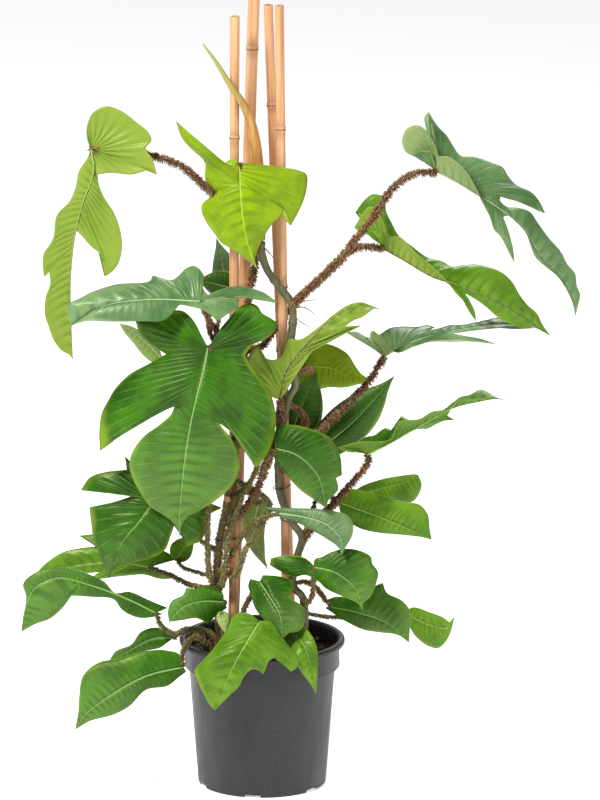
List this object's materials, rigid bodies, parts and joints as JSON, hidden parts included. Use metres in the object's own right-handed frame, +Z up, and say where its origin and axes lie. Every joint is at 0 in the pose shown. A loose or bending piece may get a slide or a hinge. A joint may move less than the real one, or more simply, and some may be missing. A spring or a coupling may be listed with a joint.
{
  "type": "potted climbing philodendron",
  "caption": "Climbing philodendron with lobed leaves on bristly red-brown stalks, tied to bamboo canes and standing in a charcoal plastic nursery pot.",
  "frame": {"origin": "centre of the pot's flat underside", "axes": "+Z up, -Y towards the viewer of the picture, +X to the viewer's right"},
  "size_m": [0.7072, 0.2348, 1.0211],
  "materials": {
    "pot": "satin charcoal moulded plastic",
    "soil": "crumbly dark peat, matt",
    "cane": "dry tan bamboo, satin",
    "stem": "living stem and bristly leaf stalks, satin",
    "sheath": "papery tan leaf sheath, satin",
    "tie": "dark plastic tie",
    "leaf_lime": "living leaf, soft gloss",
    "leaf_fresh_green": "living leaf, soft gloss",
    "leaf_rich_green": "living leaf, soft gloss",
    "leaf_deep_green": "living leaf, soft gloss",
    "leaf_grey_green": "living leaf, soft gloss",
    "leaf_pale_green": "living leaf, soft gloss"
  },
  "bodies": {
    "root": {"pot": "pot", "soil": "soil", "cane_a": "cane", "cane_b": "cane", "cane_c": "cane", "cane_d": "cane", "climbing_stem_right": "stem", "climbing_stem_left": "stem", "stalk_23_front_low": "stem", "stalk_24_over_pot": "stem", "stalk_25_over_pot": "stem", "stalk_26_low_left": "stem", "stalk_27_low_left": "stem", "stalk_28_left_twisted": "stem", "stalk_32_small": "stem", "new_leaf_sheath": "sheath", "tie_upper": "tie", "tie_middle": "tie", "tie_lower": "tie", "tie_left": "tie", "leaf_01_top_left": "leaf_fresh_green", "leaf_02_top_middle": "leaf_lime", "leaf_03_top_right": "leaf_grey_green", "leaf_04_upper_right": "leaf_fresh_green", "leaf_05_right": "leaf_grey_green", "leaf_06_right": "leaf_rich_green", "leaf_07_middle_right": "leaf_fresh_green", "leaf_08_big_front": "leaf_rich_green", "leaf_09_left": "leaf_grey_green", "leaf_17_left_front": "leaf_deep_green", "leaf_24_over_pot": "leaf_fresh_green", "leaf_12_behind_left": "leaf_pale_green", "leaf_16_front_right": "leaf_deep_green", "leaf_18_right": "leaf_fresh_green", "leaf_35_right_back": "leaf_fresh_green", "leaf_19_front_middle": "leaf_grey_green", "leaf_20_front_right": "leaf_rich_green", "leaf_21_low_right": "leaf_rich_green", "leaf_22_low_right": "leaf_fresh_green", "leaf_23_front_low": "leaf_rich_green", "leaf_26_low_left": "leaf_rich_green", "leaf_27_low_left": "leaf_rich_green", "leaf_28_left_twisted": "leaf_rich_green", "leaf_30_low_left": "leaf_rich_green", "leaf_10_behind_canes": "leaf_grey_green", "leaf_11_behind_canes": "leaf_deep_green", "leaf_13_behind_right": "leaf_lime", "leaf_14_behind_right": "leaf_deep_green", "leaf_15_right": "leaf_deep_green", "leaf_25_over_pot": "leaf_fresh_green", "leaf_29_left_back": "leaf_fresh_green", "leaf_31_hanging_pale": "leaf_pale_green", "leaf_32_small": "leaf_pale_green", "leaf_33_left_back": "leaf_fresh_green"}
  },
  "joints": []
}
